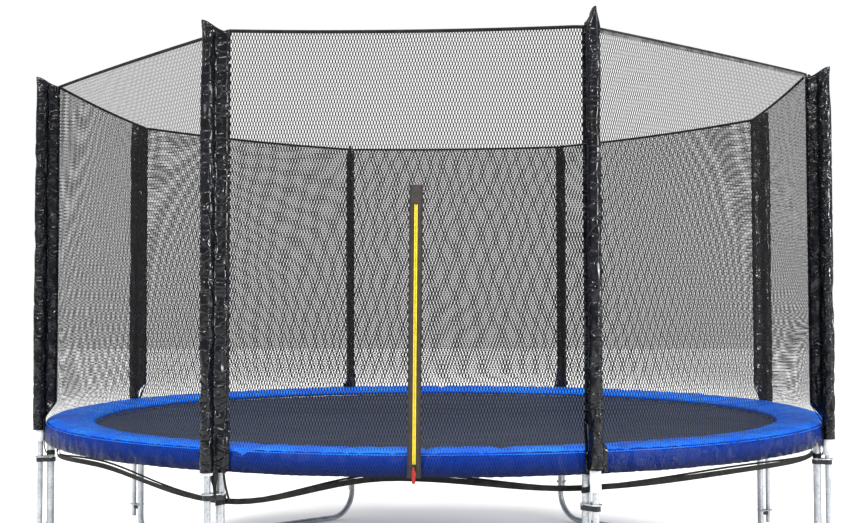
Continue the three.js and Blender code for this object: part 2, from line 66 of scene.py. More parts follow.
# The part's own dimensions
BAY_DEGREES = 45
RAIL_RADIUS = 2.108
RAIL_Z = 0.905
RAIL_TUBE = 0.042
POST_TUBE = 0.038
POLE_TUBE = 0.028
WALL = 0.0016
BEND_RADIUS = 0.180
BASE_TOP = 0.400
SOCKET_LENGTH = 0.060
SLEEVE_IN = 0.027
SLEEVE_OUT = 0.038
SLEEVE_HALF_WIDTH = 0.029
SEAM_DROP = 0.045
FLAP_LENGTH = 0.078
FLAP_THICKNESS = 0.005
FLAP_FOLD_TOP = 1.050
FLAP_FOLD_BOTTOM = 0.960
FOLD_IN = 0.0165
FOAM_RADIUS = 0.023
NET_TOP = 2.712
NET_SAG = 0.008
NET_BOTTOM = 0.856
NET_CLEARANCE = 0.008
NET_MIDDLE_TOP = 1.944
NET_SLOPE = 0.116
MAT_RADIUS = 1.893
PAD_INNER = 1.884
PAD_OUTER = 2.133
PAD_TOP = 0.955
SKIRT_BOTTOM = 0.856
ZIP_X = 0.070
BAND_WIDTH = 0.056
BAND_TOP = 2.045
COIL_TOP = 1.960
COIL_BOTTOM = 0.862
BAND_HEM = 0.009
DOOR_BAY = 5
GREY_BAY = 6
LOOSE_STRAPS_LEG = 5
SKIRT_FOLD_LEG = 7
STRAP_RADIUS = 2.078
STRAP_MIDDLE_Z = 0.843
STRAP_WIDTH = 0.024
STRAP_THICKNESS = 0.0014
# How far the strap sags below its usual middle height, bay by bay
STRAP_DROPS = (0.02, 0.01, 0.02, 0.02, 0.03, 0.0, 0.035, 0.015)
SPRINGS = 96
LOWER_CLAMP_Z = 0.260

# Looks and mesh densities
SKY_HORIZON = 0.22
SKY_TOP = 0.95
NET_CELL_WIDE = 0.0124
NET_CELL_HIGH = 0.035
NET_THREAD = 0.12
NET_THREAD_LOW = 0.012
NET_WARP = 0.005
SLEEVE_ROW = 0.015
COVER_AROUND = 26
COVER_STRIP = 5
PAD_STEPS = 704
SKIRT_EASE = 0.006
# The pad's sewn seams, in degrees. The last one puckers into a notch.
PAD_SEAMS = (8, 54, 93, 135, 174, 213, 296, 332, 252)

# Each leg: its name, where its cover ends, its flap's turn and fold, and where the strap crosses it.
LEGS = [
    ("right_back", 0.875, 0, 0.045, 0.770),
    ("back_right", 0.875, 0, 0.045, 0.775),
    ("back_left", 0.875, 0, 0.045, 0.775),
    ("left_back", 0.875, 0, 0.045, 0.770),
    ("left_front", 0.901, 0, 0.045, 0.782),
    ("front_left", 0.850, 50, 0.082, 0.722),
    ("front_right", 0.873, 0, 0.045, 0.790),
    ("right_front", 0.874, 0, 0.045, 0.795),
]


def smooth(low, high, value):
    share = min(max((value - low) / (high - low), 0.0), 1.0)
    return share * share * (3 - 2 * share)


def angles(count):
    """That many angles, evenly round a full turn."""
    return [2 * math.pi * i / count for i in range(count)]


def polar(radius, angle, z):
    return Vector((radius * math.cos(angle), radius * math.sin(angle), z))


def fold_share(z):
    """0 where a cover's flap is folded round the skirt, 1 where it stands free above."""
    return min(max((z - FLAP_FOLD_BOTTOM) / (FLAP_FOLD_TOP - FLAP_FOLD_BOTTOM), 0), 1)


def upright_node(node):
    """An upright node's place on the ground, its bottom and its top."""
    low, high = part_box(node)
    return Vector(((low.x + high.x) / 2, (low.y + high.y) / 2, 0)), low.z, high.z


class Leg:
    """Where one leg's post, pole and cover are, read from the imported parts."""

    def __init__(self, name, cover_bottom, turn, fold, strap_z):
        self.name = name
        self.cover_bottom = cover_bottom
        self.turn = math.radians(turn)
        self.fold = fold
        self.strap_z = strap_z
        self.post, self.post_bottom, self.post_top = upright_node("leg_post_" + name)
        self.pole, self.pole_bottom, self.pole_top = upright_node("pole_" + name)
        _, self.foam_bottom, self.cover_top = upright_node("pole_sleeve_" + name)
        _, low, high = upright_node("pole_clamp_" + name)
        self.clamp_z = (low + high) / 2
        self.angle = math.atan2(self.post.y, self.post.x)
        self.outward = self.post.normalized()
        self.sideways = Vector((-self.outward.y, self.outward.x, 0))

    def at(self, inward, sideways, z):
        """The point so far inward of the pole, so far counter-clockwise of it, at height z."""
        point = self.pole - self.outward * inward + self.sideways * sideways
        point.z = z
        return point

    def flap_edge(self, z):
        """The cover's free edge, which folds round the pad's skirt below the net's foot."""
        high = Vector((math.cos(self.turn), math.sin(self.turn))) * FLAP_LENGTH
        return Vector((FOLD_IN, self.fold)).lerp(high, fold_share(z))


legs = [Leg(*facts) for facts in LEGS]


def bay_legs(bay):
    """The two legs on either side of a bay."""
    return legs[bay], legs[(bay + 1) % len(legs)]


def add(name, data):
    """A new object in the scene."""
    thing = bpy.data.objects.new(name, data)
    bpy.context.scene.collection.objects.link(thing)
    return thing


# Camera

def make_camera():
    data = bpy.data.cameras.new("camera")
    data.sensor_width = 36
    data.lens = CAMERA_LENS
    camera = add("camera", data)
    turn = Matrix.Rotation(math.radians(CAMERA_TURN), 4, "Z")
    tilt = Matrix.Rotation(math.radians(CAMERA_TILT), 4, "X")
    roll = Matrix.Rotation(math.radians(CAMERA_ROLL), 4, "Z")
    camera.matrix_world = Matrix.Translation(CAMERA_PLACE) @ turn @ tilt @ roll
    bpy.context.scene.camera = camera


make_camera()


# Pad section

def pad_profile():
    """The pad's section as (radius, height, pin) points, from its underside over the top to its hem."""
    under = RAIL_Z + RAIL_TUBE / 2
    corners = [
        (PAD_INNER + 0.130, under - 0.002, 1.0),
        (PAD_INNER + 0.012, under - 0.012, 1.0),
        (PAD_INNER + 0.002, under - 0.010, 1.0),
        (PAD_INNER + 0.002, PAD_TOP - 0.020, 0.7),
        (PAD_INNER + 0.010, PAD_TOP - 0.013, 0.0),
        (PAD_INNER + 0.110, PAD_TOP - 0.008, 0.0),
        (PAD_OUTER - 0.024, PAD_TOP - 0.004, 0.0),
        (PAD_OUTER - 0.009, PAD_TOP - 0.006, 0.2),
        (PAD_OUTER - 0.003, PAD_TOP - 0.013, 0.95),
        (PAD_OUTER - 0.003, SKIRT_BOTTOM + 0.004, 0.05),
        (PAD_OUTER - 0.003, SKIRT_BOTTOM - 0.003, 0.6),
    ]
    points = [corners[0]]
    for a, b in zip(corners, corners[1:]):
        steps = max(1, round(math.hypot(b[0] - a[0], b[1] - a[1]) / 0.0145))
        for i in range(1, steps + 1):
            share = i / steps
            pin = b[2] if i == steps else min(a[2], b[2])
            points.append((a[0] + (b[0] - a[0]) * share, a[1] + (b[1] - a[1]) * share, pin))
    return points


def section_lengths(profile):
    """How far along the section each of its points is."""
    lengths = [0.0]
    for a, b in zip(profile, profile[1:]):
        lengths.append(lengths[-1] + math.hypot(b[0] - a[0], b[1] - a[1]))
    return lengths


PAD_PROFILE = pad_profile()
PAD_EDGE = next(length for length, point in zip(section_lengths(PAD_PROFILE), PAD_PROFILE)
                if point[0] > PAD_OUTER - 0.010)


# Materials

class Look:
    """A material built from nodes. Constants go straight on the Principled shader's sockets."""

    def __init__(self, name, **constants):
        self.material = bpy.data.materials.new(name)
        self.material.use_nodes = True
        self.tree = self.material.node_tree
        self.shader = self.tree.nodes["Principled BSDF"]
        for socket, value in constants.items():
            self.shader.inputs[socket.replace("_", " ")].default_value = value
        self.place = self.node("TexCoord", out="Object")

    def put(self, socket, value):
        if isinstance(value, bpy.types.NodeSocket):
            self.tree.links.new(value, socket)
        elif value is not None:
            socket.default_value = value

    def node(self, kind, *values, out=0, **settings):
        node = self.tree.nodes.new("ShaderNode" + kind)
        for key, value in settings.items():
            setattr(node, key, value)
        for socket, value in zip(node.inputs, values):
            self.put(socket, value)
        return node.outputs[out]

    def math(self, operation, a, b=None, c=None):
        return self.node("Math", a, b, c, operation=operation)

    def noise(self, scale, detail=3.0, vector=None):
        place = self.place if vector is None else vector
        return self.node("TexNoise", place, None, scale, detail, 0.6)

    def stretched(self, x, y, z):
        """The object's coordinates, each multiplied, so that a texture runs one way."""
        return self.node("VectorMath", self.place, (x, y, z), operation="MULTIPLY")

    def between(self, value, low, high, to_low=0.0, to_high=1.0):
        return self.node("MapRange", value, low, high, to_low, to_high)

    def rough(self, scale, low, high):
        """A roughness, or another value, that varies from place to place."""
        return self.between(self.noise(scale), 0.3, 0.7, low, high)

    def mottled(self, scale, low, high, first, second):
        """Two colours in soft patches."""
        return self.mix(self.between(self.noise(scale), low, high), first, second)

    def off_middle(self, value, middle=0.5):
        """How far a value is from its middle: a noise's creases are where this is 0."""
        return self.math("ABSOLUTE", self.math("SUBTRACT", value, middle))

    def parts(self, vector):
        return self.node("SeparateXYZ", vector, out=slice(None))

    def mix(self, factor, first, second):
        node = self.tree.nodes.new("ShaderNodeMix")
        node.data_type = "RGBA"
        self.put(node.inputs[0], factor)
        self.put(node.inputs[6], first)
        self.put(node.inputs[7], second)
        return node.outputs[2]

    def uv(self):
        """The piece's own lengths, across and along, in metres."""
        return self.parts(self.node("UVMap", uv_map="UVMap"))[:2]

    def height(self):
        return self.parts(self.place)[2]

    def wave(self, value, pitch):
        """A cosine of a length, from -1 to 1, that repeats every pitch metres."""
        return self.math("COSINE", self.math("MULTIPLY", value, 2 * math.pi / pitch))

    def finish(self, color=None, roughness=None, alpha=None, bumps=()):
        self.put(self.shader.inputs["Base Color"], color)
        self.put(self.shader.inputs["Roughness"], roughness)
        self.put(self.shader.inputs["Alpha"], alpha)
        normal = None
        for height, distance in bumps:
            bump = self.tree.nodes.new("ShaderNodeBump")
            bump.inputs["Strength"].default_value = 1.0
            bump.inputs["Distance"].default_value = distance
            self.put(bump.inputs["Height"], height)
            self.put(bump.inputs["Normal"], normal)
            normal = bump.outputs[0]
        self.put(self.shader.inputs["Normal"], normal)
        return self.material


def rgb(red, green, blue):
    """A colour given in everyday 0 to 255 values, as linear light."""
    def linear(value):
        share = value / 255
        return share / 12.92 if share <= 0.04045 else ((share + 0.055) / 1.055) ** 2.4
    return (linear(red), linear(green), linear(blue), 1.0)


def galvanised_look():
    """Zinc-dipped tube: pale, with soft spangle patches, faint runs and dull scuffs."""
    look = Look("galvanised", Metallic=0.75)
    spangle = look.node("TexVoronoi", look.place, None, 140.0, out=0, feature="F1")
    cloud = look.noise(9.0)
    shade = look.math("ADD", look.math("MULTIPLY", spangle, 0.4), cloud)
    color = look.mix(look.between(shade, 0.45, 1.0), rgb(150, 154, 157), rgb(210, 213, 216))
    return look.finish(color, look.rough(60.0, 0.28, 0.5), bumps=[(look.noise(350.0), 0.0002)])


def spring_look():
    """Plated wire: bright, a little yellowed, dull where it is rubbed."""
    look = Look("spring_wire", Metallic=0.95)
    color = look.mottled(40.0, 0.4, 0.65, rgb(150, 150, 150), rgb(196, 194, 186))
    return look.finish(color, look.rough(200.0, 0.22, 0.42), bumps=[(look.noise(900.0), 0.0001)])


def vinyl_look():
    """Thin glossy black sheeting: fine grain, small creases and slightly greyed high spots."""
    look = Look("black_vinyl", Specular_IOR_Level=0.35)
    crease = look.noise(15.0, 0.6, look.stretched(1.0, 1.0, 0.35))
    pucker = look.noise(16.0, 0.6, look.stretched(1.0, 1.0, 2.0))
    color = look.mottled(5.0, 0.35, 0.7, rgb(4, 5, 8), rgb(11, 14, 20))
    bumps = [
        (look.between(look.off_middle(crease), 0.0, 0.1), 0.003),
        (look.between(look.off_middle(pucker), 0.0, 0.07), 0.0018),
        (look.noise(110.0, 2.0), 0.0001),
    ]
    return look.finish(color, look.rough(18.0, 0.16, 0.32), bumps=bumps)


def foam_look():
    """White closed-cell foam: matt, with small cells and grey handling marks."""
    look = Look("white_foam")
    cells = look.node("TexVoronoi", look.place, None, 420.0, out=0, feature="F1")
    color = look.mottled(30.0, 0.45, 0.8, rgb(224, 226, 228), rgb(190, 192, 194))
    return look.finish(color, look.between(cells, 0.0, 1.0, 0.75, 0.95), bumps=[(cells, 0.0006)])


def pad_look():
    """Glossy coated cloth: a woven base under the gloss and soft creases, with painted shade: the skirt is
    coloured darker than the top, and darker still towards its hem.
    """
    look = Look("blue_vinyl", Specular_IOR_Level=0.14)
    along, across = look.uv()
    weave = look.math("MULTIPLY", look.wave(along, 0.0022), look.wave(across, 0.0022))
    bright = look.mottled(4.0, 0.35, 0.7, rgb(6, 104, 248), rgb(24, 136, 255))
    # Painted shade: the skirt's blue darkens from its top edge down to the hem
    hem_shade = look.between(look.height(), PAD_TOP - 0.02, SKIRT_BOTTOM)
    skirt = look.mix(hem_shade, rgb(1, 47, 138), rgb(1, 14, 52))
    # At the pad's outer edge the top's blue turns into the skirt's painted-shade blue
    over = look.between(across, PAD_EDGE - 0.004, PAD_EDGE + 0.002)
    color = look.mix(over, bright, skirt)
    lengths = look.node("CombineXYZ", look.math("MULTIPLY", along, 12.0), look.math("MULTIPLY", across, 9.0))
    crease = look.off_middle(look.noise(1.0, 2.0, lengths))
    bumps = [(look.between(crease, 0.0, 0.14), 0.0018), (look.noise(7.0, 1.0), 0.008), (weave, 0.00008)]
    return look.finish(color, look.rough(14.0, 0.22, 0.42), bumps=bumps)


def mat_look():
    """Woven polypropylene: flat tapes over and under each other, with a painted sheen: the tapes are
    coloured lighter where the weave rises.
    """
    look = Look("woven_mat", Specular_IOR_Level=0.3)
    x, y = look.uv()
    weave = look.math("MULTIPLY", look.wave(x, 0.0045), look.wave(y, 0.0045))
    stripe = look.between(look.wave(x, 0.036), 0.9, 1.0)
    rows = look.between(look.wave(y, 0.036), 0.9, 1.0)
    grid = look.math("MAXIMUM", stripe, rows)
    base = look.mottled(1.3, 0.35, 0.7, rgb(38, 49, 76), rgb(51, 62, 84))
    # Painted highlight: the tape colour is lighter on the raised parts of the weave
    tape = look.mix(look.between(weave, -1.0, 1.0, 0.0, 0.35), base, rgb(76, 90, 118))
    color = look.mix(look.math("MULTIPLY", grid, 0.35), tape, rgb(26, 31, 42))
    return look.finish(color, look.rough(6.0, 0.42, 0.6), bumps=[(weave, 0.0004), (look.noise(2.2), 0.006)])


def net_look():
    """Knitted net: tall diamond holes in staggered rows between black threads, which are
    pulled thinner where the net passes over the pad."""
    look = Look("net", Specular_IOR_Level=0.1)
    x, y = look.uv()
    warp = look.between(look.noise(4.5, 1.0), 0.0, 1.0, -NET_WARP, NET_WARP)
    sway = look.between(look.noise(3.1, 1.0), 0.0, 1.0, -2 * NET_WARP, 2 * NET_WARP)
    across = look.math("MULTIPLY", look.math("ADD", x, warp), 2 * math.pi / NET_CELL_WIDE)
    up = look.math("MULTIPLY", look.math("ADD", y, sway), 2 * math.pi / NET_CELL_HIGH)
    rising, falling = (look.math("ADD", look.math("COSINE", look.math(way, across, up)), 1.0)
                       for way in ("ADD", "SUBTRACT"))
    openness = look.math("MULTIPLY", look.math("MULTIPLY", rising, falling), 0.25)
    thread = look.between(look.height(), PAD_TOP + 0.01, PAD_TOP + 0.16, NET_THREAD_LOW, NET_THREAD)
    alpha = look.between(look.math("SUBTRACT", openness, thread), 0.015, -0.015)
    twist = look.noise(1200.0, 2.0)
    color = look.mix(look.between(twist, 0.3, 0.7), rgb(5, 5, 7), rgb(30, 28, 29))
    rough = look.between(twist, 0.3, 0.7, 0.6, 0.85)
    return look.finish(color, rough, alpha, bumps=[(twist, 0.0003)])


def webbing_look(name, dark, light):
    """Woven tape: ribs across it and a dull, slightly faded colour."""
    look = Look(name, Specular_IOR_Level=0.3)
    along, across = look.uv()
    ribs = look.math("MULTIPLY", look.wave(along, 0.0026), look.wave(across, 0.0018))
    color = look.mottled(25.0, 0.35, 0.7, dark, light)
    return look.finish(color, look.rough(80.0, 0.65, 0.9), bumps=[(ribs, 0.0004)])


def band_look():
    """The zip's cloth band: brown-grey, twilled, with darker stitched edges."""
    look = Look("zip_cloth", Specular_IOR_Level=0.3)
    along, across = look.uv()
    twill = look.wave(look.math("ADD", along, across), 0.0016)
    side = look.math("ABSOLUTE", across)
    edge = look.between(side, BAND_WIDTH / 2 - BAND_HEM, BAND_WIDTH / 2 - BAND_HEM + 0.002)
    dash = look.between(look.wave(along, 0.005), -0.2, 0.2)
    line = look.math("LESS_THAN", look.off_middle(side, 0.0225), 0.0006)
    stitch = look.math("MULTIPLY", dash, line)
    cloth = look.mottled(35.0, 0.35, 0.7, rgb(50, 46, 43), rgb(68, 62, 58))
    color = look.mix(stitch, look.mix(edge, cloth, rgb(48, 44, 42)), rgb(28, 27, 27))
    return look.finish(color, look.rough(90.0, 0.65, 0.9), bumps=[(twill, 0.0003), (stitch, 0.0008)])


def plastic_look(name, dark, light, smoothest=0.35, roughest=0.6):
    """Moulded plastic: faint mottling and a fine grain."""
    look = Look(name, Specular_IOR_Level=0.4)
    color = look.mottled(60.0, 0.4, 0.7, dark, light)
    return look.finish(color, look.rough(150.0, smoothest, roughest), bumps=[(look.noise(700.0), 0.0002)])


GALVANISED = galvanised_look()
SPRING_WIRE = spring_look()
VINYL = vinyl_look()
FOAM = foam_look()
PAD = pad_look()
MAT = mat_look()
NET = net_look()
WEBBING = webbing_look("webbing", rgb(12, 14, 12), rgb(38, 40, 32))
GREY_TAPE = webbing_look("grey_tape", rgb(78, 78, 80), rgb(124, 124, 126))
BAND = band_look()
BLACK_PLASTIC = plastic_look("black_plastic", rgb(16, 17, 19), rgb(38, 40, 43))
ZIP_YELLOW = plastic_look("zip_yellow", rgb(206, 184, 30), rgb(232, 214, 60))
PULL_RED = plastic_look("pull_red", rgb(140, 22, 20), rgb(178, 44, 36), roughest=0.55)


# Mesh makers

def made(name, points, faces, material, slot, body="frame", uvs=None, sharp=50):
    """A piece from points and faces, with a UV for each face corner, riding on a body."""
    mesh = bpy.data.meshes.new(name)
    mesh.from_pydata([tuple(p) for p in points], [], faces)
    if uvs is not None:
        layer = mesh.uv_layers.new(name="UVMap")
        layer.data.foreach_set("uv", np.array(uvs, float).ravel())
    mesh.polygons.foreach_set("use_smooth", [True] * len(faces))
    mesh.set_sharp_from_angle(angle=math.radians(sharp))
    mesh.materials.append(material)
    piece = add(name, mesh)
    if body:
        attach(piece, body)
    return piece


def paint(node, material):
    """Gives a CAD node that stays in view its material."""
    materials = bpy.data.objects[node].data.materials
    materials.clear()
    materials.append(material)


def grid(rows, columns, round_rows=False, round_columns=False, keep=None):
    """Faces of a grid of points listed row by row, and the (row, column) of each face corner."""
    faces = []
    corners = []
    for r in range(rows if round_rows else rows - 1):
        for c in range(columns if round_columns else columns - 1):
            if keep and not keep(r, c):
                continue
            places = [(r, c), (r, c + 1), (r + 1, c + 1), (r + 1, c)]
            faces.append([(a % rows) * columns + b % columns for a, b in places])
            corners.extend(places)
    return faces, corners


def joined(parts):
    """Points and faces of several (points, faces) parts as one."""
    points = []
    faces = []
    for part_points, part_faces in parts:
        faces.extend([[i + len(points) for i in face] for face in part_faces])
        points.extend(part_points)
    return points, faces


def directions(path, closed):
    count = len(path)
    if closed:
        return [(path[(i + 1) % count] - path[i - 1]).normalized() for i in range(count)]
    return [(path[min(i + 1, count - 1)] - path[max(i - 1, 0)]).normalized() for i in range(count)]


def circle(centre, first, second, radius, count):
    """Points round a circle or, if first and second differ in length, round an oval."""
    return [centre + (first * math.cos(turn) + second * math.sin(turn)) * radius for turn in angles(count)]


def tube_mesh(path, radius, sides=20, closed=False, wall=None):
    """A round tube along a path. A wall gives its open ends a rim and an inside."""
    path = [Vector(p) for p in path]
    ahead = directions(path, closed)
    radii = [radius] * len(path)
    if wall:
        deep = 0.04
        path = [path[0] + ahead[0] * deep, path[0], *path, path[-1], path[-1] - ahead[-1] * deep]
        ahead = [ahead[0], ahead[0], *ahead, ahead[-1], ahead[-1]]
        radii = [radius - wall, radius - wall, *radii, radius - wall, radius - wall]
    normal = ahead[0].orthogonal().normalized()
    points = []
    for centre, direction, size in zip(path, ahead, radii):
        normal = (normal - direction * normal.dot(direction)).normalized()
        points.extend(circle(centre, normal, direction.cross(normal), size, sides))
    faces, _ = grid(len(path), sides, round_rows=closed, round_columns=True)
    if not closed and not wall:
        faces.append(list(range(sides)))
        faces.append(list(range(len(points) - sides, len(points))))
    return points, faces


def strip(path, halves, thickness, closed=False):
    """A flat strap along a path, from its half width as a vector at each point. Its ends are open."""
    points = []
    for centre, direction, half in zip(path, directions(path, closed), halves):
        face = direction.cross(half).normalized() * thickness / 2
        points += [centre - half - face, centre + half - face]
        points += [centre + half + face, centre - half + face]
    return points, *grid(len(path), 4, round_rows=closed, round_columns=True)


def flat_strip(path, side, width, thickness):
    return strip(path, [side * width / 2] * len(path), thickness)[:2]


def ribbon(name, path, width, thickness, across, material, slot, closed=False):
    """A strap with closed ends and its own UVs. Its width runs as across says at each point."""
    halves = [across(i).normalized() * width / 2 for i in range(len(path))]
    points, faces, corners = strip(path, halves, thickness, closed)
    if not closed:
        faces.append([3, 2, 1, 0])
        faces.append([len(points) - 4 + i for i in range(4)])
        corners.extend([(0, 0)] * 8)
    step = (path[1] - path[0]).length
    offsets = [-width / 2, width / 2, width / 2 + thickness, -width / 2 - thickness, -width / 2]
    uvs = [(r * step, offsets[c]) for r, c in corners]
    return made(name, points, faces, material, slot, uvs=uvs, sharp=30)


def turned_points(profile, sides, centre):
    """A closed body turned from (radius, height) pairs about an upright axis through a centre."""
    points = []
    for radius, z in profile:
        points += circle(centre + UP * z, Vector((1, 0, 0)), Vector((0, 1, 0)), radius, sides)
    faces, _ = grid(len(profile), sides, round_columns=True)
    return points, faces


# Loose tie straps at the front left, each a free cord that hangs

def tie_strap(name, start, end, swing, width):
    steps = 18
    path = []
    for i in range(steps + 1):
        share = i / steps
        point = start.lerp(end, share)
        path.append(point + swing * math.sin(math.pi * share))
    sideways = legs[LOOSE_STRAPS_LEG].sideways
    strap = ribbon(name, path, width, 0.0012, lambda i: sideways, WEBBING, "webbing")


def tie_straps():
    leg = legs[LOOSE_STRAPS_LEG]
    lean = leg.outward * 0.004
    tie_strap("tie_strap_1", leg.at(0.004, 0.046, 0.862), leg.at(0.002, 0.036, 0.745), lean, 0.014)
    tie_strap("tie_strap_2", leg.at(0.006, 0.076, 0.866), leg.at(0.002, 0.112, 0.735), lean * 2, 0.012)


tie_straps()


# Frame

def frame_tube(name, path, radius, *nodes, sides=20):
    points, faces = tube_mesh(path, radius, sides, wall=WALL)
    piece = made(name, points, faces, GALVANISED, "galvanised", sharp=40)
    if nodes:
        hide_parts(*nodes)


def upright(centre, bottom, top):
    return [Vector((centre.x, centre.y, z)) for z in (bottom, top)]


def screw_head(place, outward, radius=0.0055):
    """A pressed washer and a domed round head."""
    side = outward.orthogonal().normalized()
    other = outward.cross(side)
    profile = [(1.5, 0.0), (1.5, 0.001), (1, 0.0014), (1, 0.0042), (0.6, 0.0052)]
    sides = 12
    points = []
    for size, out in profile:
        points += circle(place + outward * out, side, other, radius * size, sides)
    faces, _ = grid(len(profile), sides, round_columns=True)
    faces.append([len(points) - sides + i for i in range(sides)])
    return points, faces


def rail(index):
    steps = 36
    gap = 0.0006
    start = math.radians(BAY_DEGREES * index) + gap
    sweep = math.radians(BAY_DEGREES) - 2 * gap
    path = [polar(RAIL_RADIUS, start + sweep * i / steps, RAIL_Z) for i in range(steps + 1)]
    frame_tube(f"rail_tube_{index + 1}", path, RAIL_TUBE / 2, f"top_rail_{index + 1}")
    leg = legs[index]
    shoulder = RAIL_Z - RAIL_TUBE / 2 - SOCKET_LENGTH
    frame_tube(f"rail_socket_{index + 1}", upright(leg.post, shoulder, RAIL_Z - 0.012), POST_TUBE / 2)
    weld = []
    reach = POST_TUBE / 2 + 0.0012
    for turn in angles(28):
        across = reach * math.sin(turn)
        z = RAIL_Z - math.sqrt((RAIL_TUBE / 2) ** 2 - across ** 2)
        point = leg.post + leg.sideways * (reach * math.cos(turn)) + leg.outward * across
        weld.append(Vector((point.x, point.y, z + 0.0006 * math.sin(9 * turn))))
    end = polar(RAIL_RADIUS, start + 0.012, RAIL_Z - RAIL_TUBE / 2 + 0.0002)
    socket_screw = leg.post + leg.outward * (POST_TUBE / 2) + UP * (shoulder + 0.02)
    parts = [
        tube_mesh(weld, 0.0022, 8, closed=True),
        screw_head(end, -UP),
        screw_head(socket_screw, leg.outward),
    ]
    made(f"rail_fixings_{index + 1}", *joined(parts), GALVANISED, "galvanised")


def leg_base(index):
    first, second = legs[2 * index], legs[2 * index + 1]
    along = (second.post - first.post).normalized()
    span = (second.post - first.post).length
    floor = POST_TUBE / 2
    bend_steps = 14
    half = [(0.0, BASE_TOP)]
    for i in range(bend_steps + 1):
        angle = math.pi / 2 * i / bend_steps
        half.append((BEND_RADIUS * (1 - math.cos(angle)), floor + BEND_RADIUS * (1 - math.sin(angle))))
    line = half + [(span - x, z) for x, z in reversed(half)]
    path = [first.post + along * x + UP * z for x, z in line]
    frame_tube(f"base_tube_{index + 1}", path, POST_TUBE / 2, f"leg_base_{index + 1}")


def post_and_pole(leg):
    post = upright(leg.post, leg.post_bottom, leg.post_top)
    frame_tube("post_tube_" + leg.name, post, POST_TUBE / 2, "leg_post_" + leg.name)
    pole = upright(leg.pole, leg.pole_bottom, leg.pole_top)
    frame_tube("pole_tube_" + leg.name, pole, POLE_TUBE / 2, "pole_" + leg.name)
    face = leg.post + leg.outward * (POST_TUBE / 2)
    screws = [screw_head(face + UP * (leg.post_bottom + off), leg.outward) for off in (0.02, -0.02)]
    made("post_screws_" + leg.name, *joined(screws), GALVANISED, "galvanised")


def u_bolt(name, leg, z):
    """The bolt round the pole, through the spacer's height, with a nut and washer on each end."""
    gap = leg.pole - leg.post
    ahead = gap.normalized()
    side = Vector((-ahead.y, ahead.x, 0))
    reach = POLE_TUBE / 2 + 0.0105
    steps = 14
    path = [leg.post - ahead * 0.010 + side * reach]
    for i in range(steps + 1):
        turn = math.pi * i / steps
        path.append(leg.pole + side * (reach * math.cos(turn)) + ahead * (reach * math.sin(turn)))
    path.append(leg.post - ahead * 0.010 - side * reach)
    rise = UP * (z + 0.0145)
    parts = [tube_mesh([p + rise for p in path], 0.003, 10)]
    for way in (1, -1):
        nut = leg.post + ahead * 0.004 + side * (reach * way) + rise
        parts.append(tube_mesh([nut, nut - ahead * 0.007], 0.0062, 6))
        parts.append(tube_mesh([nut + ahead * 0.0014, nut], 0.0085, 16))
    made(name + leg.name, *joined(parts), GALVANISED, "galvanised", sharp=35)


def lower_spacer(leg):
    """A spacer like the upper one, hollowed on both sides to hold the post and the pole apart."""
    gap = (leg.pole - leg.post).length
    post_saddle = POST_TUBE / 2 + 0.0005
    pole_saddle = POLE_TUBE / 2 + 0.0005
    outline = []
    for ahead, radius, low, high in ((0, post_saddle, -58, 58), (gap, pole_saddle, 118, 242)):
        for angle in np.radians(np.linspace(low, high, 9)):
            outline.append((ahead + radius * math.cos(angle), radius * math.sin(angle)))
    middle = Vector((gap / 2, 0))
    points = []
    for height, inset in ((-0.013, 0.9), (-0.012, 1.0), (0.012, 1.0), (0.013, 0.9)):
        for ahead, side in outline:
            flat = middle + (Vector((ahead, side)) - middle) * inset
            point = leg.post + leg.outward * flat.x + leg.sideways * flat.y
            points.append(Vector((point.x, point.y, LOWER_CLAMP_Z + height)))
    faces, _ = grid(4, len(outline), round_columns=True)
    faces.append(list(reversed(range(len(outline)))))
    faces.append([len(points) - len(outline) + i for i in range(len(outline))])
    made("lower_clamp_" + leg.name, points, faces, BLACK_PLASTIC, "black_plastic", sharp=35)


def clamps(leg):
    u_bolt("u_bolt_", leg, leg.clamp_z)
    u_bolt("lower_u_bolt_", leg, LOWER_CLAMP_Z)
    lower_spacer(leg)
    paint("pole_clamp_" + leg.name, BLACK_PLASTIC)


# Padded poles

def foam(leg):
    bottom = leg.foam_bottom
    inner = POLE_TUBE / 2 + 0.001
    profile = [(inner, 1.0), (inner, bottom), (FOAM_RADIUS - 0.003, bottom), (FOAM_RADIUS, bottom + 0.003)]
    hidden = leg.cover_bottom + 0.03
    profile += [(FOAM_RADIUS, z) for z in np.linspace(bottom + 0.02, hidden, 5)]
    profile += [(FOAM_RADIUS - 0.007, z) for z in np.linspace(hidden + 0.03, 1.0, 6)]
    points, faces = turned_points([(r, float(z)) for r, z in profile], 32, leg.pole)
    crush = []
    for point in points:
        away = Vector((point.x - leg.pole.x, point.y - leg.pole.y, 0))
        dent = 0.0012 * noise.noise(point * 28) if away.length > 0.018 else 0
        crush.append(point + away.normalized() * dent)
    piece = made("foam_tube_" + leg.name, crush, faces, FOAM, None)


def cover_outline(leg, z):
    """The cover's section at a height: a tube round the foam and a flat flap towards the net."""
    centre = (SLEEVE_IN - SLEEVE_OUT) / 2
    length = (SLEEVE_IN + SLEEVE_OUT) / 2
    pinch = 1 - 0.8 * smooth(leg.cover_top - 0.10, leg.cover_top + 0.02, z)
    seam = Vector((math.cos(leg.turn), math.sin(leg.turn)))
    off_seam = Vector((-seam.y, seam.x))
    start = math.radians(7)
    points = []
    for i in range(COVER_AROUND + 1):
        angle = leg.turn + start + (2 * math.pi - 2 * start) * i / COVER_AROUND
        flat = Vector((centre + length * math.cos(angle), SLEEVE_HALF_WIDTH * math.sin(angle)))
        points.append(seam * flat.dot(seam) + off_seam * (flat.dot(off_seam) * pinch))
    edge = leg.flap_edge(z)
    toward = edge.normalized()
    across = Vector((-toward.y, toward.x)) * FLAP_THICKNESS / 2
    points += [points[COVER_AROUND].lerp(edge - across, (i + 1) / COVER_STRIP) for i in range(COVER_STRIP)]
    points.append(edge + toward * 0.0015)
    points += [(edge + across).lerp(points[0], i / COVER_STRIP) for i in range(COVER_STRIP)]
    return points


